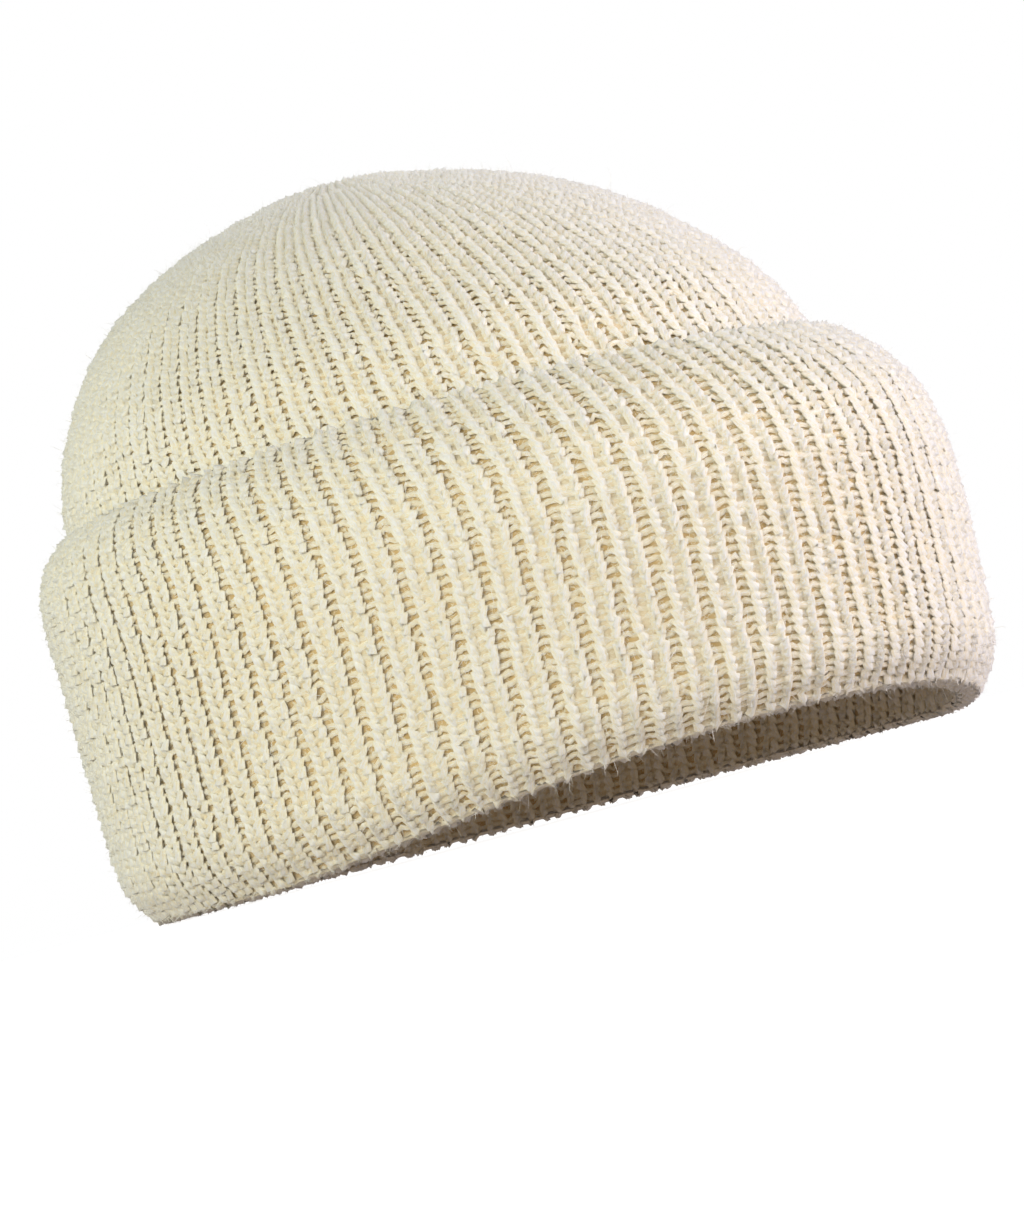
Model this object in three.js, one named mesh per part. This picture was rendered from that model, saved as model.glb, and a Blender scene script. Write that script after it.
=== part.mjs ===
import * as THREE from 'three';

// A wool watch cap in 1x1 rib with a deep turned-up cuff, in the form that it keeps on a head.
// Millimetres, +Z up, the front of the hat toward -Y, the origin under the middle of the rim.
//
// The real hat is one knitted tube, gathered at the top and folded up at the rim. Here the fold is
// the seam between two solids: the cuff holds the turned-up layer and the fold itself, and the
// crown holds the dome and the inner layer that stands on the fold inside the cuff.

const RIB_COUNT = 84;
const COLUMN_COUNT = 2 * RIB_COUNT; // a ridge column and a valley column for each rib
const WALL = 4.4; // one layer of the knit, over the ridges of both its faces
const RIB_DEPTH = 1.3; // how far a valley lies under the ridges beside it
const LAYER_GAP = 0.3; // clearance between the crown's inner layer and the cuff
const EDGE_ROUNDING = 1.8; // how far the cuff's knitted edge bulges past its last row

// The rim arches over the brow and rests on the table along the sides and the back.
const BROW_ARCH = 8.0;
const ARCH_START = 0.3; // how far past the sides the arch starts, as the sine of the angle
const ARCH_FADE_HEIGHT = 60; // the rows at this height are level again

// Rows of the cuff's outer face over its ridges, from the fold to the knitted edge: the height, the
// half width at the sides, and where the row crosses the centre plane at the front and the back.
const CUFF_FACE = [
  { z: 12, side: 87.2, front: -109.8, back: 107.4 },
  { z: 49, side: 88.3, front: -111.8, back: 109.0 },
  { z: 62, side: 88.0, front: -108.4, back: 110.8 },
  { z: 70, side: 86.6, front: -102.0, back: 111.8 },
  { z: 76, side: 84.0, front: -94.8, back: 109.6 },
  { z: 80, side: 80.6, front: -88.6, back: 105.6 },
];

// The fold, from the hollow round under the rim to the outer face: the height, how far inside the
// cuff's lowest row the surface lies, and the share of the rib relief. Both rows at the table are
// flat, because the knit is flattened where it rests.
const FOLD = [
  { z: 12, inset: 9.3, relief: 1 },
  { z: 6, inset: 10.4, relief: 1 },
  { z: 2, inset: 11.6, relief: 0.6 },
  { z: 0, inset: 10.6, relief: 0 },
  { z: 0, inset: 6.4, relief: 0 },
  { z: 2, inset: 4.6, relief: 0.6 },
  { z: 6, inset: 1.8, relief: 1 },
];

// Rows of the crown's outer face over its ridges, from just under the cuff's edge to the gathers.
const CROWN_FACE = [
  { z: 76, side: 77.0, front: -85.0, back: 101.9 },
  { z: 84, side: 76.6, front: -80.4, back: 101.8 },
  { z: 94, side: 74.2, front: -73.6, back: 100.3 },
  { z: 106.5, side: 67.8, front: -59.6, back: 96.0 },
  { z: 119.5, side: 57.6, front: -41.6, back: 87.6 },
  { z: 130, side: 43.0, front: -21.2, back: 72.0 },
  { z: 137, side: 26.5, front: -1.0, back: 54.0 },
  { z: 140.8, side: 12.0, front: 14.3, back: 37.8 },
];
const GATHER = { z: 141.2, y: 26.0 }; // where the drawn-up ribs meet
const BAND_ROW_COUNT = 4; // the lowest cuff rows, which the crown's inner layer follows
const FULL_ROW_COUNT = 6; // the crown rows that hold every rib, under the gathers

// The angles of the columns, at equal steps of length round the cuff's widest row, so that the
// ribs keep one pitch. Column 0 is at the right side and column 42 at the back.
function columnAngles() {
  const widest = CUFF_FACE[1];
  const reach = (widest.back - widest.front) / 2;
  const samples = 40 * COLUMN_COUNT;
  const lengths = [0];
  for (let i = 1; i <= samples; i += 1) {
    const angle = (2 * Math.PI * (i - 0.5)) / samples;
    const speed = Math.hypot(widest.side * Math.sin(angle), reach * Math.cos(angle));
    lengths.push(lengths[i - 1] + speed);
  }
  const angles = [];
  for (let column = 0, i = 0; column < COLUMN_COUNT; column += 1) {
    const wanted = (lengths[samples] * column) / COLUMN_COUNT;
    while (lengths[i + 1] <= wanted) i += 1;
    const share = (wanted - lengths[i]) / (lengths[i + 1] - lengths[i]);
    angles.push((2 * Math.PI * (i + share)) / samples);
  }
  return angles;
}

const ANGLES = columnAngles();

function archLift(angle, z) {
  const along = Math.max(0, (-Math.sin(angle) - ARCH_START) / (1 - ARCH_START));
  return BROW_ARCH * along ** 1.5 * Math.max(0, 1 - z / ARCH_FADE_HEIGHT);
}

// One row of points round the hat: an ellipse through the row's side, front and back.
function ring({ z, side, front, back }, inset = 0) {
  const middle = (front + back) / 2;
  const reach = (back - front) / 2;
  return ANGLES.map((angle) => new THREE.Vector3(
    (side - inset) * Math.cos(angle),
    middle + (reach - inset) * Math.sin(angle),
    z + archLift(angle, z),
  ));
}

// Unit normals of a face given as rows. They point outward where the rows run upward.
function faceNormals(rows) {
  const last = rows.length - 1;
  return rows.map((row, i) => row.map((_, k) => {
    const before = row[(k + row.length - 1) % row.length];
    const around = row[(k + 1) % row.length].clone().sub(before);
    const along = rows[Math.min(i + 1, last)][k].clone().sub(rows[Math.max(i - 1, 0)][k]);
    return around.cross(along).normalize();
  }));
}

// The rows moved by a depth along their normals, where depthAt gives the depth of each column.
function sink(rows, depthAt) {
  const normals = faceNormals(rows);
  return rows.map((row, i) => row.map(
    (point, k) => point.clone().addScaledVector(normals[i][k], -depthAt(k, i)),
  ));
}

const isEven = (column) => column % 2 === 0;
const everySecond = (row) => row.filter((_, k) => isEven(k));
const everyFourth = (row) => everySecond(everySecond(row));

// Triangles between two neighbouring rows. A row has as many points as the other, half or twice as
// many, or is a single point.
function joinRows(a, b, triangles) {
  const count = Math.max(a.length, b.length);
  const at = (row, k) => row[Math.floor((k * row.length) / count) % row.length];
  for (let k = 0; k < count; k += 1) {
    const [a0, a1, b0, b1] = [at(a, k), at(a, k + 1), at(b, k), at(b, k + 1)];
    if (a0 !== a1) triangles.push(a0, a1, b1);
    if (b0 !== b1) triangles.push(a0, b1, b0);
  }
}

// A closed solid from rows in order round its section. The last row joins the first one.
function solidFromRows(name, color, rows) {
  const points = rows.flat();
  const triangles = [];
  let start = 0;
  const numbered = rows.map((row) => row.map(() => start++));
  numbered.forEach((row, i) => joinRows(row, numbered[(i + 1) % numbered.length], triangles));
  const geometry = new THREE.BufferGeometry().setFromPoints(points);
  geometry.setIndex(triangles);
  geometry.computeVertexNormals();
  const material = new THREE.MeshStandardMaterial({ color, roughness: 0.95, metalness: 0 });
  const mesh = new THREE.Mesh(geometry, material);
  mesh.name = name;
  return mesh;
}

// The face that shows on the cuff has its ridges on the odd columns. The face between the layers
// has them on the even columns, and it is smooth, with one column for each of those ridges.
function makeCuff() {
  const lowest = CUFF_FACE[0];
  const foldRows = FOLD.map(({ z, inset }) => ring({ ...lowest, z }, inset));
  const faceRows = CUFF_FACE.map((row) => ring(row));
  const relief = (k, i) => (isEven(k) ? RIB_DEPTH * (FOLD[i]?.relief ?? 1) : 0);
  const shown = sink([...foldRows, ...faceRows], relief);
  const hidden = sink(faceRows, () => WALL).map(everySecond).reverse();
  const edge = edgeRow(faceRows, hidden[0]);
  return solidFromRows('cuff', '#e8e1cf', [...shown, edge, ...hidden]);
}

// The middle of the knitted edge, pushed past the last row in the direction of the cloth.
function edgeRow(faceRows, hiddenLast) {
  const [previous, last] = faceRows.slice(-2).map(everySecond);
  return last.map((point, k) => {
    const onward = point.clone().sub(previous[k]).setLength(EDGE_ROUNDING);
    return point.clone().add(hiddenLast[k]).multiplyScalar(0.5).add(onward);
  });
}

// The crown's outer face shows its ridges on the even columns, over the cuff's valleys, and the
// face toward the head goes on from the cuff through the fold, with its ridges on the odd columns.
function makeCrown() {
  const foot = { ...CUFF_FACE[0], z: FOLD[0].z + LAYER_GAP };
  const faceRows = [foot, ...CUFF_FACE.slice(1)].map((row) => ring(row));
  const band = sink(faceRows, () => WALL + LAYER_GAP).slice(0, BAND_ROW_COUNT);
  const dome = CROWN_FACE.map((row) => ring(row));
  const rows = [...band, ...dome];
  const full = BAND_ROW_COUNT + FULL_ROW_COUNT;

  const shown = sink(rows, (k, i) => {
    if (i < BAND_ROW_COUNT) return 0;
    return (i < full ? !isEven(k) : k % 4 === 2) ? RIB_DEPTH : 0;
  });
  const toHead = sink(rows, (k, i) => (i < full && !isEven(k) ? WALL : WALL - RIB_DEPTH / 2));
  const outer = [
    ...shown.slice(0, BAND_ROW_COUNT).map(everySecond),
    ...shown.slice(BAND_ROW_COUNT, full),
    everySecond(shown[full]),
    everyFourth(shown[full + 1]),
    [new THREE.Vector3(0, GATHER.y, GATHER.z)],
  ];
  const inner = [
    ...toHead.slice(0, full).filter((_, i) => i >= BAND_ROW_COUNT || isEven(i)),
    everySecond(toHead[full]),
    [new THREE.Vector3(0, GATHER.y, GATHER.z - WALL)],
  ];
  return solidFromRows('crown', '#ebe4d3', [...outer, ...inner.reverse()]);
}

const hat = new THREE.Group();
hat.add(makeCrown(), makeCuff());

export default hat;
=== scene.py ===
"""A wool watch cap in 1x1 rib with a turned-up cuff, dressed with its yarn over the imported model.

Shapes are worked out in millimetres and put into the meshes in metres. +Z is up, the front of the
hat faces -Y, and the origin is under the middle of the rim. Two numbers place a point on the knit:
the length up the section, and the place round the hat, counted in ribs from the right side.
"""
import math

import bpy
import numpy as np
from mathutils import Matrix


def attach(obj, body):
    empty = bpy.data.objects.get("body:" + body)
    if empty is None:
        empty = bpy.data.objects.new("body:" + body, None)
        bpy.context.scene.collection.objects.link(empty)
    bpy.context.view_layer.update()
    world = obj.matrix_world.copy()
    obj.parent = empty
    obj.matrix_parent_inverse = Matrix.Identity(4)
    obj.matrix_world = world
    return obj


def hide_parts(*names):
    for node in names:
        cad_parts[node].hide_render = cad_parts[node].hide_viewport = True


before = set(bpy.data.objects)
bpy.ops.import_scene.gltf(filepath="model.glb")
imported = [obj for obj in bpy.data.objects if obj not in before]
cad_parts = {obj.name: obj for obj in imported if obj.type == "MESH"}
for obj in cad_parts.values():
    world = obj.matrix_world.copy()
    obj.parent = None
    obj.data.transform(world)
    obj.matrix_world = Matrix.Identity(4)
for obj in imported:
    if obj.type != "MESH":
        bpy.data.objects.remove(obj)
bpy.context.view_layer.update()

MM = 0.001  # in metres

# The form, as in the part's source.
RIB_COUNT = 84
WALL = 4.4  # one layer of the knit, over the ridges of both its faces
RIB_DEPTH = 1.3  # how far a valley lies under the ridges beside it
LAYER_GAP = 0.3  # clearance between the crown's inner layer and the cuff
BROW_ARCH = 8.0  # how far the rim arches up over the brow
ARCH_START = 0.3  # how far past the sides the arch starts, as the sine of the angle
ARCH_FADE_HEIGHT = 60.0  # the rows at this height are level again
GATHER = np.array([0.0, 26.0, 141.2])  # where the drawn-up ribs meet
BAND_ROW_COUNT = 4  # the lowest cuff rows, which the crown's inner layer follows
# Rows of a section: the height, the half width, and where the row meets the centre plane at the
# front and at the back.
CUFF_FACE = np.array([
    [12.0, 87.2, -109.8, 107.4],
    [49.0, 88.3, -111.8, 109.0],
    [62.0, 88.0, -108.4, 110.8],
    [70.0, 86.6, -102.0, 111.8],
    [76.0, 84.0, -94.8, 109.6],
    [80.0, 80.6, -88.6, 105.6],
])
# The fold, from the hollow round under the rim to the outer face: the height, and how far inside
# the cuff's lowest row the surface lies.
FOLD = np.array([
    [12.0, 9.3],
    [6.0, 10.4],
    [2.0, 11.6],
    [0.0, 10.6],
    [0.0, 6.4],
    [2.0, 4.6],
    [6.0, 1.8],
])
CROWN_FACE = np.array([
    [76.0, 77.0, -85.0, 101.9],
    [84.0, 76.6, -80.4, 101.8],
    [94.0, 74.2, -73.6, 100.3],
    [106.5, 67.8, -59.6, 96.0],
    [119.5, 57.6, -41.6, 87.6],
    [130.0, 43.0, -21.2, 72.0],
    [137.0, 26.5, -1.0, 54.0],
    [140.8, 12.0, 14.3, 37.8],
    [141.2, 0.0, 26.0, 26.0],
])

# The knit.
COURSE = 1.87  # the height of a course
YARN_DEPTH = 1.95  # the middle of the yarn's layer under the face over the ridges
GROUND_DEPTH = 2.20  # the ground behind the yarn in a valley, under that face
GROUND_RISE = 0.45  # how far the ground stands up behind the middle of a ridge
SOFTNESS = 0.60  # how far the yarn's shading turns from its own roundness to the face of the knit
# Half of a knit stitch, from the crossing between the columns to its head, and the middle of the
# purl stitch. Each sample has its place round the hat in ribs, its place up the section in courses,
# its height over the middle of the yarn's layer and the yarn's radius.
CUFF_HALF = np.array([
    [-0.400, -0.36, 0.10, 0.54],
    [-0.155, -0.46, 0.00, 0.66],
    [-0.200, 0.08, 0.75, 1.02],
    [-0.290, 0.60, 0.60, 0.80],
    [-0.120, 0.94, 0.00, 0.66],
])
CUFF_PURL = np.array([[0.500, -0.28, 0.25, 0.56]])
# The crown is knitted a little tighter, so its strands part in the middle of a rib as well.
CROWN_HALF = np.array([
    [-0.410, -0.36, 0.20, 0.57],
    [-0.160, -0.46, 0.00, 0.66],
    [-0.220, 0.08, 0.75, 1.00],
    [-0.315, 0.60, 0.60, 0.80],
    [-0.125, 0.94, -0.05, 0.62],
])
CROWN_PURL = np.array([[0.500, -0.28, 0.45, 0.62]])
RIDGE_SWELL = 0.15  # how far the middle of a rib stands out, and a valley lies back
# How far one sample and one whole stitch stray from their places, in the same three units.
SAMPLE_STRAY = np.array([0.018, 0.08, 0.09])
STITCH_STRAY = np.array([0.018, 0.08, 0.10])
RADIUS_SPREAD = 0.07  # how unevenly the yarn is spun, as a share of its radius
YARN_SIDES = 4
PRESS = 0.6  # the share of the relief that is pressed out where the knit rests on the table
PRESSED_HEIGHT = 0.25  # the height that the yarn is pressed toward there
TABLE_CLEARANCE = 0.02  # between the lowest yarn and the table

# The loose fibres.
FIBRE_REACH = (3.0, 0.55)  # their length: the shape and the scale of a gamma distribution
FIBRE_RISE = (0.3, 1.6)  # how far they lean outward for each step along the face
FIBRE_BEND = 0.40  # how far they curve aside, as a share of their length
FIBRE_DROOP = 0.15  # how far the tip comes back toward the face, as a share of their length
FIBRE_HALF_WIDTH = (0.028, 0.058)


def unit(vectors):
    """Each vector over its length."""
    return vectors / np.maximum(np.linalg.norm(vectors, axis=-1, keepdims=True), 1e-9)


def rib_table():
    """Angles at equal steps of length round the cuff's widest row: the running sum of
    sqrt((a sin t)^2 + (b cos t)^2) over t, scaled to count the ribs."""
    _, side, front, back = CUFF_FACE[1]
    reach = (back - front) / 2
    angles = np.linspace(0.0, 2 * math.pi, 80 * RIB_COUNT + 1)
    middle = (angles[1:] + angles[:-1]) / 2
    steps = np.hypot(side * np.sin(middle), reach * np.cos(middle))
    lengths = np.concatenate([[0.0], np.cumsum(steps)])
    return lengths / lengths[-1] * RIB_COUNT, angles


RIB_TABLE = rib_table()


def rib_angle(ribs):
    """The angle round the hat of a place counted in ribs."""
    return np.interp(np.mod(ribs, RIB_COUNT), *RIB_TABLE)


def make_profile(rows):
    """The rows with the running length of the section at each, and their slopes: the harmonic mean
    of the two slopes beside a row, and none where they differ in sign."""
    steps = np.diff(rows, axis=0)
    squared = steps[:, 0] ** 2 + (steps[:, 1] ** 2 + (steps[:, 2] ** 2 + steps[:, 3] ** 2) / 2) / 2
    lengths = np.concatenate([[0.0], np.cumsum(np.sqrt(squared))])
    secants = steps / np.diff(lengths)[:, None]
    before, after = secants[:-1], secants[1:]
    together = before * after > 0
    between = np.where(together, 2 * before * after / np.where(together, before + after, 1.0), 0.0)
    slopes = np.concatenate([secants[:1], between, secants[-1:]])
    return lengths, rows, slopes


def profile_rows(profile, length):
    """Rows at lengths up the section: the cubic through the rows beside each that keeps slopes."""
    lengths, rows, slopes = profile
    i = np.clip(np.searchsorted(lengths, length) - 1, 0, len(lengths) - 2)
    step = (lengths[i + 1] - lengths[i])[..., None]
    t = (length - lengths[i])[..., None] / step
    hold = rows[i] * (2 * t ** 3 - 3 * t ** 2 + 1) + rows[i + 1] * (3 * t ** 2 - 2 * t ** 3)
    lean = slopes[i] * (t ** 3 - 2 * t ** 2 + t) + slopes[i + 1] * (t ** 3 - t ** 2)
    return hold + lean * step


def fold_rows():
    """The fold's rows, each the cuff's lowest row at its own height and inset."""
    height, inset = FOLD.T
    _, side, front, back = CUFF_FACE[0]
    return np.stack([height, side - inset, front + inset, back - inset], axis=1)


CUFF = make_profile(np.concatenate([fold_rows(), CUFF_FACE]))
CROWN = make_profile(CROWN_FACE)
CUFF_LENGTH = CUFF[0][-1]
CROWN_LENGTH = CROWN[0][-1]
EDGE_RADIUS = WALL / 2


def arch_lift(angle, height):
    """How far the rim arches up over the brow: the rise times the share of the way past the sides
    to the power 1.5, fading with height."""
    along = np.maximum(0.0, (-np.sin(angle) - ARCH_START) / (1 - ARCH_START))
    return BROW_ARCH * along ** 1.5 * np.maximum(0.0, 1 - height / ARCH_FADE_HEIGHT)


def section_point(profile, length, ribs):
    """An ellipse through the row's side, front and back, at the rib's angle, with the arch."""
    row = profile_rows(profile, length)
    height, side, front, back = np.moveaxis(row, -1, 0)
    angle = rib_angle(ribs)
    x = side * np.cos(angle)
    y = (front + back) / 2 + (back - front) / 2 * np.sin(angle)
    return np.stack([x, y, height + arch_lift(angle, height)], axis=-1)


def section_frame(profile, length, ribs):
    """The point, the way up the section and the normal, from small differences both ways."""
    half_step, half_turn = 0.1, 0.01  # in mm and in ribs
    longest = profile[0][-1]
    low, high = np.maximum(length - half_step, 0.0), np.minimum(length + half_step, longest)
    up = section_point(profile, high, ribs) - section_point(profile, low, ribs)
    onward = section_point(profile, length, ribs + half_turn)
    around = onward - section_point(profile, length, ribs - half_turn)
    return section_point(profile, length, ribs), unit(up), unit(np.cross(around, up))


def cuff_frame(length, ribs):
    """The cuff's face. Past the last row it goes half round the knitted edge, a circle of half the
    wall across, and down the hidden side at the depth of the wall."""
    turn = np.clip((length - CUFF_LENGTH) / EDGE_RADIUS, 0.0, math.pi)[..., None]
    beyond = np.maximum(0.0, length - CUFF_LENGTH - math.pi * EDGE_RADIUS)
    held = np.minimum(length, CUFF_LENGTH) - beyond
    point, up, normal = section_frame(CUFF, held, ribs)
    turned = np.cos(turn) * normal + np.sin(turn) * up
    return point - EDGE_RADIUS * normal + EDGE_RADIUS * turned, turned


def crown_frame(length, ribs):
    """The crown's face. Below its lowest row it goes straight on down."""
    point, up, normal = section_frame(CROWN, np.maximum(length, 0.0), ribs)
    return point + up * np.minimum(length, 0.0)[..., None], normal


# The pieces as meshes.

def add_mesh(name, points, faces, maps=(), values=()):
    """A smooth mesh from points and arrays of faces. maps are UV maps, one (u, v) for each corner
    in the order of the faces, and values are numbers for each point."""
    mesh = bpy.data.meshes.new(name)
    corners = np.concatenate([face.ravel() for face in faces])
    totals = np.concatenate([np.full(len(face), face.shape[1]) for face in faces])
    starts = np.concatenate([[0], np.cumsum(totals)[:-1]])
    mesh.vertices.add(len(points))
    mesh.vertices.foreach_set("co", (points * MM).astype(np.float32).ravel())
    mesh.loops.add(len(corners))
    mesh.loops.foreach_set("vertex_index", corners.astype(np.int32))
    mesh.polygons.add(len(totals))
    mesh.polygons.foreach_set("loop_start", starts.astype(np.int32))
    mesh.polygons.foreach_set("loop_total", totals.astype(np.int32))
    mesh.polygons.foreach_set("use_smooth", np.ones(len(totals), dtype=bool))
    mesh.update(calc_edges=True)
    for map_name, places in maps:
        layer = mesh.uv_layers.new(name=map_name)
        layer.data.foreach_set("uv", places.astype(np.float32).ravel())
    for value_name, numbers in values:
        layer = mesh.attributes.new(value_name, "FLOAT", "POINT")
        layer.data.foreach_set("value", numbers.astype(np.float32).ravel())
    piece = bpy.data.objects.new(name, mesh)
    bpy.context.collection.objects.link(piece)
    return piece


def dress(piece, node, material):
    """The piece stands for the CAD node, which is hidden, hangs from the root body and takes the
    material given.
    """
    piece.data.materials.append(material)
    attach(piece, "root")
    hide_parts(node)


def in_map(places):
    """Places in a flat map, a little off its borders."""
    return places * 0.998 + 0.001


# The yarn.

def stitch_path(half, purl):
    """The samples of one rib in one course, from the crossing into its knit column: the half
    stitch, its mirror image, and the middle of the purl stitch."""
    return np.concatenate([half, half[::-1] * [-1.0, 1.0, 1.0, 1.0], purl])


def narrow_stitch_path(half, purl):
    """The same with the two samples at the head made one, where the ribs run together."""
    stitch = stitch_path(half, purl)
    head = (stitch[4:5] + stitch[5:6]) / 2
    return np.concatenate([stitch[:4], head, stitch[6:]])


def course_paths(face, course, length, stitch, merge, first_rib, seed):
    """The middle line of the yarn in each course, as a closed ring of samples.

    face gives point and normal, course the numbers of the courses, length the section length at a
    course number, and merge how many of the bottom ribs one rib here stands for. A sample of the
    stitch is moved round the hat by its ribs, up the section by its courses, and out along the
    normal by its height. Small random shifts make it look knitted by hand. Where the knit rests it
    is pressed flat. The normal, the height and the radius at each sample are given with its point.
    """
    rng = np.random.default_rng(seed)
    ribs_here = RIB_COUNT // merge
    shape = (len(course), ribs_here, len(stitch))
    wobble = rng.normal(0.0, 1.0, (3,) + shape) * SAMPLE_STRAY[:, None, None, None]
    loose = rng.normal(0.0, 1.0, (3,) + shape[:2]) * STITCH_STRAY[:, None, None]
    number = np.arange(ribs_here)[None, :, None]
    place = number + stitch[:, 0] + wobble[0] + loose[0][..., None]
    rows = course[:, None, None] + stitch[:, 1] + wobble[1] + loose[1][..., None]
    swell = RIDGE_SWELL * np.cos(2 * math.pi * stitch[:, 0])
    height = stitch[:, 2] + wobble[2] + loose[2][..., None] + swell
    ribs = (place * merge + first_rib).reshape(len(course), -1)
    rows = rows.reshape(len(course), -1)
    height = height.reshape(len(course), -1)
    radius = np.tile(stitch[:, 3], ribs_here) * rng.normal(1.0, RADIUS_SPREAD, height.shape)
    point, normal = face(length(rows), ribs)
    flat = facing_down(normal, 0.4, 0.5)
    height = height * (1 - PRESS * flat) + PRESSED_HEIGHT * flat
    return point + normal * (height - YARN_DEPTH)[..., None], normal, height, radius


def yarn_rings(name, paths, normals, heights, radii, seed):
    """Tubes round closed middle lines: at each sample the ring of points cos(a) B + sin(a) N, with
    B across the line in the face and N square to both."""
    rng = np.random.default_rng(seed)
    tangent = unit(np.roll(paths, -1, axis=1) - np.roll(paths, 1, axis=1))
    across = unit(np.cross(tangent, normals))
    outward = np.cross(across, tangent)
    turns = 2 * math.pi * np.arange(YARN_SIDES)[:, None] / YARN_SIDES
    thick = radii[..., None, None]
    ring = np.cos(turns) * across[:, :, None] + np.sin(turns) * outward[:, :, None]
    points = above_table(paths[:, :, None] + thick * ring)
    # How far each point stands out; the wool's painted shade is taken from it.
    shade_lift = heights[:, :, None] + thick[..., 0] * np.sum(ring * normals[:, :, None], axis=-1)
    courses, samples = paths.shape[:2]
    course, sample, side = ring_numbers(courses, samples)

    def point_at(sample, side):
        return (course * samples + sample % samples) * YARN_SIDES + side % YARN_SIDES

    corners = [point_at(sample, side), point_at(sample + 1, side),
               point_at(sample + 1, side + 1), point_at(sample, side + 1)]
    quads = np.stack(corners, axis=-1).reshape(-1, 4)
    steps = np.linalg.norm(np.roll(paths, -1, axis=1) - paths, axis=-1)
    run = np.concatenate([np.zeros((courses, 1)), np.cumsum(steps, axis=1)], axis=1)
    run += rng.uniform(0.0, 1000.0, (courses, 1))
    along = np.stack([run[:, :-1], run[:, 1:], run[:, 1:], run[:, :-1]], axis=-1)[:, :, None]
    round_it = np.stack([side, side, side + 1, side + 1], axis=-1) / YARN_SIDES
    along = np.broadcast_to(along, round_it.shape) * MM
    yarn = np.stack([along, round_it], axis=-1).reshape(-1, 2)
    bake = ring_bake_map(courses, samples)
    piece = add_mesh(name, points.reshape(-1, 3), [quads],
                     [("yarn", yarn), ("OFBake", bake)], [("shade_lift", shade_lift.reshape(-1))])
    soft = unit(ring * (1 - SOFTNESS) + normals[:, :, None] * SOFTNESS)
    piece.data.normals_split_custom_set_from_vertices(soft.reshape(-1, 3).tolist())
    return piece


def facing_down(normal, start, span):
    """How far a face looks down: 0 until the normal's downward share is start, and 1 from a span
    past it."""
    return np.clip((-normal[..., 2] - start) / span, 0.0, 1.0)


def above_table(points):
    """The points, with those under the table brought up to lie on it."""
    height = np.maximum(points[..., 2:], TABLE_CLEARANCE)
    return points * [1.0, 1.0, 0.0] + height * [0.0, 0.0, 1.0]


def ring_numbers(courses, samples):
    """The course, sample and side number of each face of the rings."""
    return np.meshgrid(
        np.arange(courses), np.arange(samples), np.arange(YARN_SIDES), indexing="ij")


def ring_bake_map(courses, samples, strips=6):
    """A flat map of the rings for baking: each ring is cut into strips that lie side by side, with
    a gap between one strip and the next."""
    strip_start, strip_width = 0.06, 0.88
    course, sample, side = ring_numbers(courses, samples)
    per_strip = math.ceil(samples / strips)
    strip, place = np.divmod(sample, per_strip)
    row = course * strips + strip
    rows = courses * strips
    u = np.stack([place, place + 1, place + 1, place], axis=-1) / per_strip
    round_it = np.stack([side, side, side + 1, side + 1], axis=-1)
    v = (row[..., None] + strip_start + strip_width * round_it / YARN_SIDES) / rows
    return np.stack([in_map(u), v], axis=-1).reshape(-1, 2)


# The ground behind the yarn, and the knit's other face.

def grid_faces(rows, columns):
    """Quads between neighbouring rows of points that run round the hat, with the last row joined to
    the first, and a flat map of them."""
    row, column = np.meshgrid(np.arange(rows), np.arange(columns), indexing="ij")
    a = row * columns + column
    b = row * columns + (column + 1) % columns
    c = (row + 1) % rows * columns + (column + 1) % columns
    d = (row + 1) % rows * columns + column
    quads = np.stack([a, b, c, d], axis=-1).reshape(-1, 4)
    u = np.stack([column, column + 1, column + 1, column], axis=-1) / columns
    v = np.stack([row, row, row + 1, row + 1], axis=-1) / rows
    return quads, in_map(np.stack([u, v], axis=-1)).reshape(-1, 2)


def smooth_rows(rows, count):
    """More rows through a grid's rows: the Catmull-Rom cubic, whole rows at a time."""
    t = np.linspace(0.0, len(rows) - 1, count)
    i = np.minimum(t.astype(int), len(rows) - 2)
    f = (t - i)[:, None, None]
    ends = np.concatenate([2 * rows[:1] - rows[1:2], rows, 2 * rows[-1:] - rows[-2:-1]])
    a, b, c, d = ends[i], ends[i + 1], ends[i + 2], ends[i + 3]
    return b + f / 2 * (c - a + f * (2 * a - 5 * b + 4 * c - d + f * (3 * (b - c) + d - a)))


def grid_normals(grid):
    """Normals of rows of points that run round the hat, upward rows giving outward normals."""
    around = np.roll(grid, -1, axis=1) - np.roll(grid, 1, axis=1)
    return unit(np.cross(around, np.gradient(grid, axis=0)))


def rib_wave(ribs, ridge_at):
    """1 on a ridge and 0 in a valley: half a cosine wave, one wave to a rib."""
    return 0.5 + 0.5 * np.cos(2 * math.pi * (ribs - ridge_at))


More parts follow.
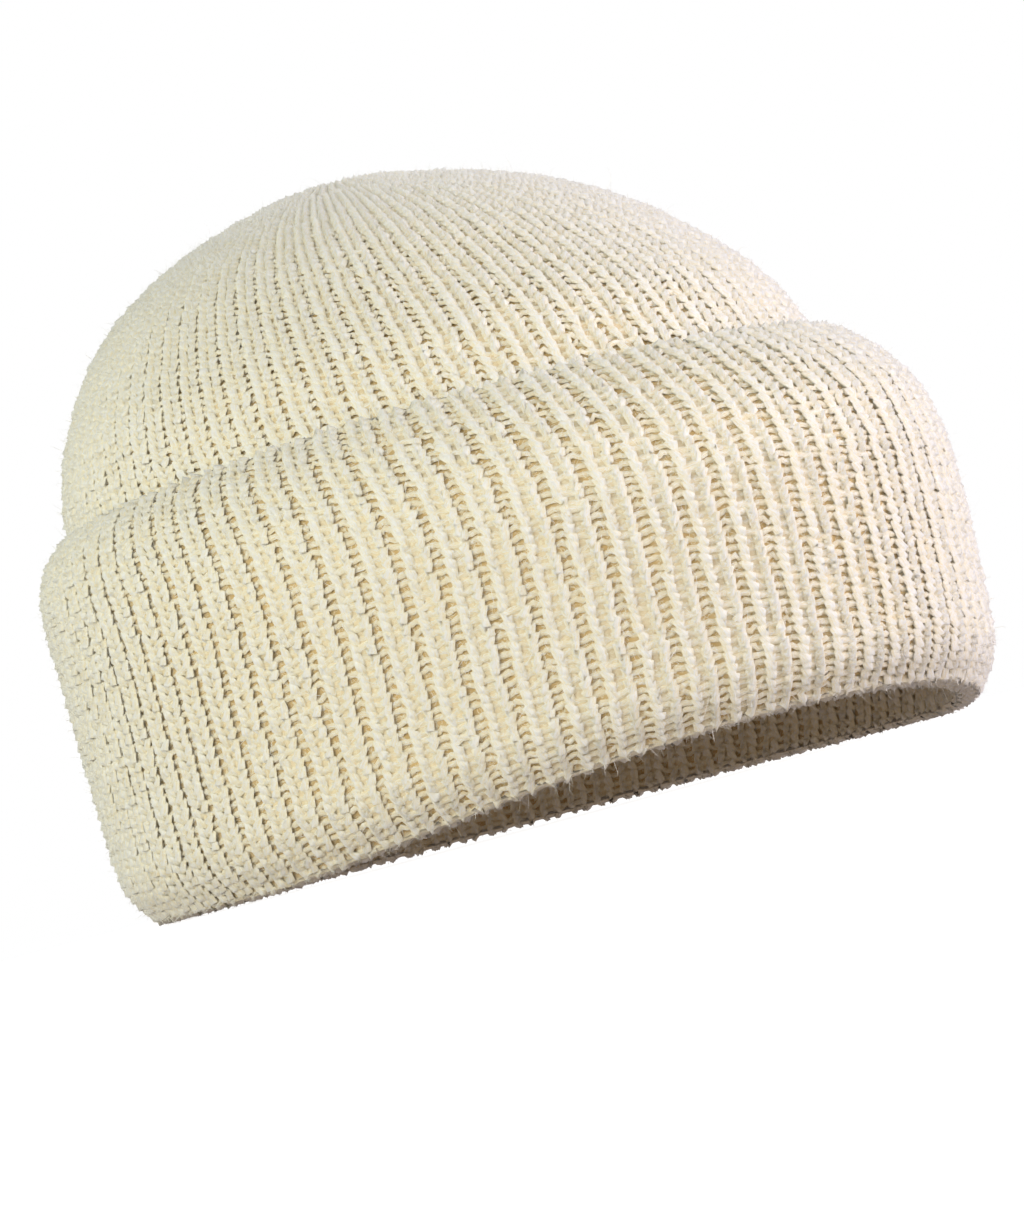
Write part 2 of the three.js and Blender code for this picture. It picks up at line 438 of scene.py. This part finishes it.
def cuff_ground():
    """The cuff's ground: round the fold and up behind the yarn, over the edge, and down the side
    that faces the crown, to a little over the fold. Its ridges are halfway between whole numbers
    of ribs. Under the rim it lies less deep."""
    shown_rows, hidden_rows, columns = 44, 12, RIB_COUNT * 2
    over_fold, hidden_relief = 3.0, 0.5
    rise_under_rim = 0.4  # as a share of the depth
    ridge_shade_lift = 0.7
    ribs = np.arange(columns)[None, :] / 2
    shown = np.linspace(0.0, CUFF_LENGTH, shown_rows)[:, None] + 0 * ribs
    point, normal = cuff_frame(shown, ribs + 0 * shown)
    under_rim = facing_down(normal, 0.8, 0.2)
    depth = (GROUND_DEPTH - GROUND_RISE * rib_wave(ribs, 0.5)) * (1 - rise_under_rim * under_rim)
    front = point - normal * depth[..., None]
    hidden_end = CUFF[0][len(FOLD)] + over_fold
    hidden = np.linspace(CUFF_LENGTH, hidden_end, hidden_rows)[:, None] + 0 * ribs
    point, normal = cuff_frame(hidden, ribs + 0 * hidden)
    wave = rib_wave(ribs, 0.0)
    back = point - normal * (WALL - hidden_relief + hidden_relief * wave)[..., None]
    grid = np.concatenate([front, back])
    quads, bake = grid_faces(len(grid), columns)
    # Its colour is painted shade: darker in the valleys and lighter on the ridges, and painted
    # lighter under the rim and on the side that faces the crown.
    ridge = ridge_shade_lift * rib_wave(ribs, 0.5)
    shade_lift = np.concatenate([np.maximum(under_rim, ridge), np.ones(hidden.shape)])
    return add_mesh("cuff_ground", grid.reshape(-1, 3), [quads],
                    [("knit", bake), ("OFBake", bake)], [("shade_lift", shade_lift)])


def crown_ground():
    """The crown's ground: outside the inner layer, up behind the yarn to the gathers, and back down
    the face toward the head to the fold. Its ridges are at whole numbers of ribs, and the ribs
    toward the head fade out below the gathers."""
    row_count, first_shown, fading_rows, columns = 34, 9, 8, RIB_COUNT * 4
    layer_depth = 1.2  # where the cuff covers the inner layer
    ridge_shade_lift = 0.5
    ribs = np.arange(columns)[None, :] / 4
    lowest = len(FOLD)
    starts = CUFF[0][lowest:lowest + BAND_ROW_COUNT] + [LAYER_GAP, 0.0, 0.0, 0.0]
    starts = starts[:, None]
    point, normal = cuff_frame(starts + 0 * ribs, ribs + 0 * starts)
    band = point - normal * (WALL + LAYER_GAP)
    lengths = CROWN[0][:-1][:, None]
    dome, _ = crown_frame(lengths + 0 * ribs, ribs + 0 * lengths)
    rows = smooth_rows(np.concatenate([band, dome]), row_count)
    normal = grid_normals(rows)
    wave = rib_wave(ribs, 0.5)
    fade = np.clip((row_count - 2 - np.arange(row_count)) / fading_rows, 0.0, 1.0)[:, None]
    to_head = rows - normal * (WALL - RIB_DEPTH * (1 - wave) * fade)[..., None]
    depth = (GROUND_DEPTH - GROUND_RISE * rib_wave(ribs, 0.0))[..., None]
    cover = rows[first_shown:] - normal[first_shown:] * depth
    under = rows[:first_shown] - normal[:first_shown] * layer_depth
    shown = np.concatenate([under, cover])
    top_in, top_out = (np.broadcast_to(GATHER - [0.0, 0.0, below], (1, columns, 3))
                       for below in (WALL, GROUND_DEPTH))
    grid = np.concatenate([shown, top_out, top_in, to_head[::-1]])
    quads, bake = grid_faces(len(grid), columns)
    # Its colour is painted shade: darker in the valleys and lighter on the ridges where the yarn
    # covers it, and painted lighter at the top and on the face toward the head.
    ridge = np.broadcast_to(ridge_shade_lift * rib_wave(ribs, 0.0), shown.shape[:2])
    shade_lift = np.concatenate([ridge, np.ones((2 + len(to_head), columns))])
    return add_mesh("crown_ground", grid.reshape(-1, 3), [quads],
                    [("knit", bake), ("OFBake", bake)], [("shade_lift", shade_lift)])


# The fuzz.

def fuzz(name, paths, normals, heights, radii, count, seed):
    """Loose fibres. Each starts on the yarn, more often where that stands out, leans between the
    face and its normal, and curves aside and back: root, knee and tip, as one tapering ribbon."""
    usual_odds, least_odds = 1.6, 0.2  # on yarn at the height 0, and on the lowest
    root_at = 0.7  # as a share of the yarn's radius
    knee_at, knee_bend, knee_width = 0.6, 0.3, 0.8  # as shares of the reach, the bend and the width
    rng = np.random.default_rng(seed)
    samples = paths.shape[1]
    odds = np.clip(heights + usual_odds, least_odds, None).ravel()
    pick = rng.choice(odds.size, count, p=odds / odds.sum())
    step = rng.uniform(0.0, 1.0, (count, 1))
    course, sample = np.divmod(pick, samples)
    here, after = paths[course, sample], paths[course, (sample + 1) % samples]
    normal = normals[course, sample]
    tangent = unit(after - here)
    across = np.cross(normal, tangent)
    root = here + (after - here) * step + normal * radii[course, sample][:, None] * root_at
    heading = rng.uniform(0.0, 2 * math.pi, (count, 1))
    rise = rng.uniform(*FIBRE_RISE, (count, 1))
    flat = np.cos(heading) * tangent + np.sin(heading) * across
    way = unit(flat + rise * normal)
    wide = np.cross(normal, way)
    reach = rng.gamma(*FIBRE_REACH, (count, 1))
    bend = rng.normal(0.0, FIBRE_BEND, (count, 1))
    half = rng.uniform(*FIBRE_HALF_WIDTH, (count, 1))
    knee = root + reach * (knee_at * way + knee_bend * bend * wide)
    tip = root + reach * (way + bend * wide - FIBRE_DROOP * normal)
    outline = [root - half * wide, root + half * wide,
               knee - half * wide * knee_width, knee + half * wide * knee_width, tip]
    points = above_table(np.stack(outline, axis=1))
    first = np.arange(count)[:, None] * 5
    quads = first + [0, 1, 3, 2]
    tips = first + [2, 3, 4]
    cells = math.ceil(math.sqrt(count))
    cell = np.stack(np.divmod(np.arange(count), cells), axis=-1)[:, None]
    bake = np.concatenate([
        ((cell + [[0.1, 0.1], [0.9, 0.1], [0.9, 0.6], [0.1, 0.6]]) / cells).reshape(-1, 2),
        ((cell + [[0.1, 0.6], [0.9, 0.6], [0.5, 0.95]]) / cells).reshape(-1, 2)])
    return add_mesh(name, points.reshape(-1, 3), [quads, tips], [("OFBake", bake)])


# Materials.

def new_material(name):
    """A new node material, its tree and its Principled shader."""
    material = bpy.data.materials.new(name)
    material.use_nodes = True
    shader = material.node_tree.nodes["Principled BSDF"]
    return material, material.node_tree, shader


def math_node(tree, operation, *values):
    """A Math node. A value is a number or another node's output."""
    node = tree.nodes.new("ShaderNodeMath")
    node.operation = operation
    for socket, value in zip(node.inputs, values):
        if isinstance(value, (int, float)):
            socket.default_value = value
        else:
            tree.links.new(value, socket)
    return node.outputs[0]


def stray_fibres_group():
    """Fine curly fibres in every direction, as a mask: thin level lines of a smooth noise, taken
    several to a bump, from two noises that cross, with gaps where a third noise is low. Size is
    that of a bump in metres, Width half a line's width as a share of the step between two lines,
    and Cover says how much of the face has fibres."""
    lines_to_a_bump, gap_edge = 5.0, 8.0
    group = bpy.data.node_groups.new("stray_fibres", "ShaderNodeTree")
    for socket, value in (("Size", 0.002), ("Width", 0.06), ("Cover", 0.5)):
        made = group.interface.new_socket(socket, in_out="INPUT", socket_type="NodeSocketFloat")
        made.default_value = value
    group.interface.new_socket("Mask", in_out="OUTPUT", socket_type="NodeSocketFloat")
    entry = group.nodes.new("NodeGroupInput")
    leave = group.nodes.new("NodeGroupOutput")
    place = group.nodes.new("ShaderNodeTexCoord")
    scale = math_node(group, "DIVIDE", 1.0, entry.outputs["Size"])
    lines = []
    noises = (((0.0, 0.0, 0.0), (1.0, 1.0, 0.8)), ((0.31, 0.17, 0.07), (0.8, 0.8, 1.3)))
    for shift, squash in noises:
        move = group.nodes.new("ShaderNodeMapping")
        move.inputs["Location"].default_value = shift
        move.inputs["Scale"].default_value = squash
        group.links.new(place.outputs["Object"], move.inputs["Vector"])
        noise = group.nodes.new("ShaderNodeTexNoise")
        noise.inputs["Detail"].default_value = 1.0
        noise.inputs["Distortion"].default_value = 0.4
        group.links.new(scale, noise.inputs["Scale"])
        group.links.new(move.outputs["Vector"], noise.inputs["Vector"])
        bump = math_node(group, "MULTIPLY", noise.outputs["Fac"], lines_to_a_bump)
        level = math_node(group, "FRACT", bump)
        off = math_node(group, "ABSOLUTE", math_node(group, "SUBTRACT", level, 0.5))
        near = math_node(group, "DIVIDE", off, entry.outputs["Width"])
        lines.append(math_node(group, "SUBTRACT", 1.0, math_node(group, "MINIMUM", near, 1.0)))
    patches = group.nodes.new("ShaderNodeTexNoise")
    patches.inputs["Detail"].default_value = 1.0
    group.links.new(math_node(group, "MULTIPLY", scale, 1.3), patches.inputs["Scale"])
    group.links.new(place.outputs["Object"], patches.inputs["Vector"])
    above = math_node(group, "SUBTRACT", patches.outputs["Fac"],
                      math_node(group, "SUBTRACT", 0.95, entry.outputs["Cover"]))
    steep = math_node(group, "MULTIPLY", above, gap_edge)
    keep = math_node(group, "MINIMUM", math_node(group, "MAXIMUM", steep, 0.0), 1.0)
    both = math_node(group, "MAXIMUM", *lines)
    group.links.new(math_node(group, "MULTIPLY", both, keep), leave.inputs["Mask"])
    return group


def add_stray_fibres(tree, group, size, width, cover):
    """The fibre mask placed in a material with its own values."""
    node = tree.nodes.new("ShaderNodeGroup")
    node.node_tree = group
    node.inputs["Size"].default_value = size
    node.inputs["Width"].default_value = width
    node.inputs["Cover"].default_value = cover
    return node.outputs["Mask"]


def mix_color(tree, factor, first, second):
    """A colour mix. A colour is three numbers or another node's output."""
    color_inputs, color_output = (6, 7), 2  # the node has sockets of one name for each kind of data
    node = tree.nodes.new("ShaderNodeMix")
    node.data_type = "RGBA"
    tree.links.new(factor, node.inputs["Factor"])
    for number, value in zip(color_inputs, (first, second)):
        if isinstance(value, tuple):
            node.inputs[number].default_value = (*value, 1.0)
        else:
            tree.links.new(value, node.inputs[number])
    return node.outputs[color_output]


def add_shade_lift(tree):
    """How far the surface stands out there, from the mesh: it sets the painted shade in the colour.
    """
    node = tree.nodes.new("ShaderNodeAttribute")
    node.attribute_name = "shade_lift"
    return node.outputs["Fac"]


def wool_material(name, fibres, pale, middle, deep):
    """Wool yarn. Its colour is painted shade: it goes from deep near the ground over middle to pale
    on what stands out most, so the yarn is painted darker and warmer where it lies deeper, for the
    shade and the light scattered in the knit there. A fibre along the strand counts as some height
    of its own. Stray fibres lie over it.
    Wool scatters light all ways, with a sheen from its fibres."""
    fibre_height, deep_at, pale_at = 5.6, 1.75, 4.75
    middle_at = 0.6  # as a share of the way from deep to pale
    material, tree, shader = new_material(name)
    nodes, links = tree.nodes, tree.links
    place = nodes.new("ShaderNodeUVMap")
    place.uv_map = "yarn"
    stretch = nodes.new("ShaderNodeMapping")
    # Bumps of noise to a metre of yarn, and to a turn round it.
    stretch.inputs["Scale"].default_value = (900.0, 15.0, 1.0)
    links.new(place.outputs["UV"], stretch.inputs["Vector"])
    strand = nodes.new("ShaderNodeTexNoise")
    strand.inputs["Scale"].default_value = 1.0
    strand.inputs["Detail"].default_value = 3.0
    strand.inputs["Roughness"].default_value = 0.7
    links.new(stretch.outputs["Vector"], strand.inputs["Vector"])
    # Painted shade: the colour follows how far the yarn stands out, darker and warmer where it lies
    # deeper.
    shade_lift = math_node(tree, "MULTIPLY_ADD", strand.outputs["Fac"], fibre_height, add_shade_lift(tree))
    span = nodes.new("ShaderNodeMapRange")
    span.inputs["From Min"].default_value = deep_at
    span.inputs["From Max"].default_value = pale_at
    links.new(shade_lift, span.inputs["Value"])
    ramp = nodes.new("ShaderNodeValToRGB")
    ramp.color_ramp.elements[0].position = 0.0
    ramp.color_ramp.elements[0].color = (*deep, 1.0)
    ramp.color_ramp.elements[1].position = 1.0
    ramp.color_ramp.elements[1].color = (*pale, 1.0)
    between = ramp.color_ramp.elements.new(middle_at)
    between.color = (*middle, 1.0)
    links.new(span.outputs[0], ramp.inputs["Fac"])
    stray = add_stray_fibres(tree, fibres, size=0.0020, width=0.10, cover=0.62)
    color = mix_color(tree, math_node(tree, "MULTIPLY", stray, 0.8), ramp.outputs["Color"], pale)
    links.new(color, shader.inputs["Base Color"])
    height = math_node(tree, "ADD", strand.outputs["Fac"], math_node(tree, "MULTIPLY", stray, 0.5))
    bump = nodes.new("ShaderNodeBump")
    bump.inputs["Strength"].default_value = 0.2
    bump.inputs["Distance"].default_value = 0.0002
    links.new(height, bump.inputs["Height"])
    links.new(bump.outputs["Normal"], shader.inputs["Normal"])
    shader.inputs["Roughness"].default_value = 0.95
    shader.inputs["Sheen Weight"].default_value = 0.45
    shader.inputs["Sheen Roughness"].default_value = 0.6
    return material


def fibre_material(name, color):
    """Loose fibres in one pale tone."""
    material, _, shader = new_material(name)
    shader.inputs["Base Color"].default_value = (*color, 1.0)
    shader.inputs["Roughness"].default_value = 0.7
    return material


def ground_material(name, fibres, shade, color):
    """The ground behind the yarn: wool painted in shade under stray fibres, and the lighter tone of
    the wool on the faces that show, where its lift is 1."""
    material, tree, shader = new_material(name)
    stray = add_stray_fibres(tree, fibres, size=0.0016, width=0.14, cover=0.6)
    base = mix_color(tree, add_shade_lift(tree), shade, color)
    tree.links.new(mix_color(tree, stray, base, color), shader.inputs["Base Color"])
    shader.inputs["Roughness"].default_value = 1.0
    return material


# Putting the hat together.

def cuff_length_at(course):
    """Section length at a course: even on the face, wider steps round the edge, which takes two
    courses, and even again past it."""
    full = CUFF_LENGTH / COURSE
    past_edge = CUFF_LENGTH + math.pi * EDGE_RADIUS
    return np.interp(course, [0.0, full, full + 2.0, full + 6.0],
                     [0.0, CUFF_LENGTH, past_edge, past_edge + 4 * COURSE])


def crown_length_at(course):
    """Section length at a course, counted from the crown's lowest row."""
    return course * COURSE


# The wool's own colour comes first. The three after it are painted shade: tan and darker tones for
# where the knit lies deeper, standing for the shade and the light scattered between the strands
# there.
PALE = (0.955, 0.950, 0.925)
HALF_SHADE = (0.922, 0.850, 0.655)
DEEP_SHADE = (0.82, 0.64, 0.35)
SHADE = (0.72, 0.50, 0.22)
stray_fibres = stray_fibres_group()
cuff_wool = wool_material("cuff_wool", stray_fibres, PALE, HALF_SHADE, DEEP_SHADE)
crown_wool = wool_material("crown_wool", stray_fibres, PALE, HALF_SHADE, DEEP_SHADE)
cuff_fibre_wool = fibre_material("cuff_fibre_wool", PALE)
crown_fibre_wool = fibre_material("crown_fibre_wool", PALE)
cuff_ground_wool = ground_material("cuff_ground_wool", stray_fibres, SHADE, HALF_SHADE)
crown_ground_wool = ground_material("crown_ground_wool", stray_fibres, SHADE, HALF_SHADE)

FUZZ_SEED = 40  # what the seed of a band's fibres has over that of its yarn
CUFF_BAND_FIBRES = 8000

# The cuff's courses in three bands, the last of them two courses past the face. Its ribs start half
# a rib round from the crown's, because it shows the other side of the knit.
cuff_stitch = stitch_path(CUFF_HALF, CUFF_PURL)
last_cuff_course = int(CUFF_LENGTH / COURSE) + 2
cuff_courses = np.arange(1.0, last_cuff_course + 1)
cuff_bands = zip(("fold", "face", "edge"), np.array_split(cuff_courses, 3), (11, 12, 13))
for part_name, band, seed in cuff_bands:
    lines = course_paths(cuff_frame, band, cuff_length_at, cuff_stitch, merge=1, first_rib=0.5,
                         seed=seed)
    yarn = yarn_rings(f"cuff_{part_name}_courses", *lines, seed)
    dress(yarn, "cuff", cuff_wool)
    fibres = fuzz(f"cuff_{part_name}_fuzz", *lines, CUFF_BAND_FIBRES, seed + FUZZ_SEED)
    dress(fibres, "cuff", cuff_fibre_wool)
dress(cuff_ground(), "cuff", cuff_ground_wool)

# The crown's courses in four bands: the first course, the one after the last, the stitch, how many
# ribs run together, the number of fibres and the seed.
crown_stitch = stitch_path(CROWN_HALF, CROWN_PURL)
narrow_stitch = narrow_stitch_path(CROWN_HALF, CROWN_PURL)
top_course = int(CROWN_LENGTH / COURSE) - 1
crown_bands = (
    ("lower", -1, 22, crown_stitch, 1, 9500, 21),
    ("upper", 22, 46, narrow_stitch, 1, 9000, 22),
    ("gather", 46, 57, narrow_stitch, 2, 1200, 23),
    ("top", 57, top_course, narrow_stitch, 4, 300, 24),
)
for part_name, start, stop, stitch, merge, fibre_count, seed in crown_bands:
    band = np.arange(start, stop, dtype=float)
    lines = course_paths(crown_frame, band, crown_length_at, stitch, merge, first_rib=0.0,
                         seed=seed)
    yarn = yarn_rings(f"crown_{part_name}_courses", *lines, seed)
    dress(yarn, "crown", crown_wool)
    fibres = fuzz(f"crown_{part_name}_fuzz", *lines, fibre_count, seed + FUZZ_SEED)
    dress(fibres, "crown", crown_fibre_wool)
dress(crown_ground(), "crown", crown_ground_wool)


# The stage, the light and the camera.

def make_stage():
    """A round floor under the hat, which gives a little light of its own: white to the camera, and
    less of it and pinkish toward the hat."""
    radius, sides = 3000.0, 96
    to_hat, more_to_camera = 0.20, 0.72
    turns = np.linspace(0.0, 2 * math.pi, sides, endpoint=False)
    rim = np.stack([radius * np.cos(turns), radius * np.sin(turns), 0 * turns], axis=-1)
    floor = add_mesh("floor", rim, [np.arange(sides)[None, :]])
    material, tree, shader = new_material("floor_paint")
    shader.inputs["Base Color"].default_value = (0.22, 0.20, 0.19, 1.0)
    shader.inputs["Roughness"].default_value = 0.9
    seen = tree.nodes.new("ShaderNodeLightPath").outputs["Is Camera Ray"]
    tint = mix_color(tree, seen, (1.0, 0.84, 0.78), (1.0, 1.0, 1.0))
    tree.links.new(tint, shader.inputs["Emission Color"])
    glow = math_node(tree, "MULTIPLY_ADD", seen, more_to_camera, to_hat)
    tree.links.new(glow, shader.inputs["Emission Strength"])
    floor.data.materials.append(material)


def area_light(name, place, size, power, color):
    """A square light in metres and watts that faces the middle of the hat."""
    middle_of_hat = 0.07
    light = bpy.data.lights.new(name, "AREA")
    light.energy = power
    light.size = size
    light.color = color
    lamp = bpy.data.objects.new(name, light)
    bpy.context.collection.objects.link(lamp)
    lamp.location = place
    from_hat = lamp.location.copy()
    from_hat.z -= middle_of_hat
    lamp.rotation_euler = from_hat.to_track_quat("Z", "Y").to_euler()


def make_light():
    """White surroundings to the camera. The hat's light from them is dimmer overhead and from the
    camera's side, and goes from yellowish on the picture's left to pinkish on its right. A light at
    each side adds to it, and the right one is the stronger."""
    level_at_sides, loss_overhead, loss_ahead = 1.76, -2.12, -0.24
    toward_camera, to_the_right = (-0.44, -0.90, 0.0), (0.45, -0.22, 0.0)
    world = bpy.data.worlds.new("studio")
    bpy.context.scene.world = world
    world.use_nodes = True
    tree = world.node_tree
    nodes, links = tree.nodes, tree.links
    around = nodes["Background"]
    way = nodes.new("ShaderNodeTexCoord").outputs["Generated"]

    def share_along(direction):
        node = nodes.new("ShaderNodeVectorMath")
        node.operation = "DOT_PRODUCT"
        node.inputs[1].default_value = direction
        links.new(way, node.inputs[0])
        return node.outputs["Value"]

    overhead = math_node(tree, "MAXIMUM", share_along((0.0, 0.0, 1.0)), 0.0)
    fading = math_node(tree, "MULTIPLY_ADD", overhead, loss_overhead, level_at_sides)
    level = math_node(tree, "MAXIMUM", fading, 0.0)
    ahead = math_node(tree, "MAXIMUM", share_along(toward_camera), 0.0)
    dimmed = math_node(tree, "MULTIPLY_ADD", ahead, loss_ahead, 1.0)
    links.new(math_node(tree, "MULTIPLY", level, dimmed), around.inputs["Strength"])
    share = math_node(tree, "ADD", share_along(to_the_right), 0.5)
    tint = mix_color(tree, share, (1.06, 1.12, 0.90), (1.25, 1.18, 1.27))
    links.new(tint, around.inputs["Color"])
    seen = nodes.new("ShaderNodeBackground")
    seen.inputs["Color"].default_value = (1.0, 1.0, 1.0, 1.0)
    seen.inputs["Strength"].default_value = 1.0
    path = nodes.new("ShaderNodeLightPath")
    pick = nodes.new("ShaderNodeMixShader")
    links.new(path.outputs["Is Camera Ray"], pick.inputs["Fac"])
    links.new(around.outputs["Background"], pick.inputs[1])
    links.new(seen.outputs["Background"], pick.inputs[2])
    links.new(pick.outputs["Shader"], nodes["World Output"].inputs["Surface"])
    area_light("key", (-0.97, -0.71, 0.42), size=0.8, power=5.3, color=(1.0, 1.02, 0.92))
    area_light("fill", (0.91, -0.73, 0.27), size=0.8, power=8.6, color=(1.02, 0.95, 1.02))


def make_camera():
    """Just above the floor, 26 degrees round to the hat's right front, rolled so that the hat leans
    15 degrees to the left."""
    azimuth, distance, height = math.radians(-26.0), 0.701, 0.002
    focal, width = 3450.0, 1024.0  # in pixels
    below, left = 211.5, 8.0  # in pixels, of the origin from the picture's middle before the roll
    sensor = 36.0
    camera = bpy.data.cameras.new("camera")
    camera.sensor_fit = "HORIZONTAL"
    camera.sensor_width = sensor
    camera.lens = sensor * focal / width
    camera.clip_start = 0.01
    camera.clip_end = 50.0
    eye = bpy.data.objects.new("camera", camera)
    bpy.context.collection.objects.link(eye)
    eye.location = (distance * math.sin(azimuth), -distance * math.cos(azimuth), height)
    up = math.atan2(below, focal) - math.atan2(height, distance)
    aside = math.atan2(left, focal)
    eye.rotation_mode = "XYZ"
    turn = Matrix.Rotation(azimuth - aside, 4, "Z")
    tilt = Matrix.Rotation(math.pi / 2 + up, 4, "X")
    roll = Matrix.Rotation(math.radians(-15.0), 4, "Z")
    eye.rotation_euler = (turn @ tilt @ roll).to_euler()
    bpy.context.scene.camera = eye


make_stage()
make_light()
make_camera()
bpy.context.scene.view_settings.view_transform = "Standard"
